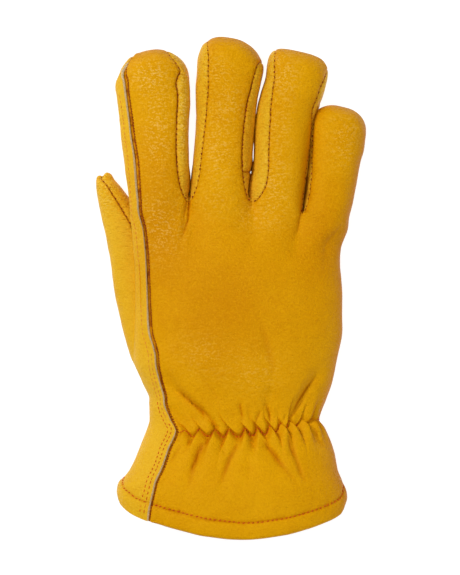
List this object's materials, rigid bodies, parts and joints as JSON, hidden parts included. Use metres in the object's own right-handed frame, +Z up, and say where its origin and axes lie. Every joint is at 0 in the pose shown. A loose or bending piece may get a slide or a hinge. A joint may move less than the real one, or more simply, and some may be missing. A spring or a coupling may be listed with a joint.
{
  "type": "rigger glove",
  "caption": "Right-hand leather work glove with sewn finger panels, a rolled index side, a gathered wrist and a flared, hemmed cuff.",
  "frame": {"origin": "middle of the glove's footprint, on the surface it lies on", "axes": "+Y from the cuff to the fingertips, +X towards the little finger's side, +Z up out of the back of the hand; the palm is down"},
  "size_m": [0.1354, 0.251, 0.046],
  "materials": {
    "back_leather": "Golden yellow grain leather, lightly creased",
    "palm_leather": "Golden yellow grain leather, lightly creased",
    "side_leather": "Golden yellow grain leather",
    "thumb_leather": "Golden yellow grain leather"
  },
  "bodies": {
    "root": {"back_panel": "back_leather", "palm_panel": "palm_leather", "fourchette_index_right": "side_leather", "fourchette_middle_left": "side_leather", "fourchette_middle_right": "side_leather", "fourchette_ring_left": "side_leather", "fourchette_ring_right": "side_leather", "fourchette_little_left": "side_leather", "thumb_outer_panel": "thumb_leather", "thumb_inner_panel": "thumb_leather"}
  },
  "joints": []
}
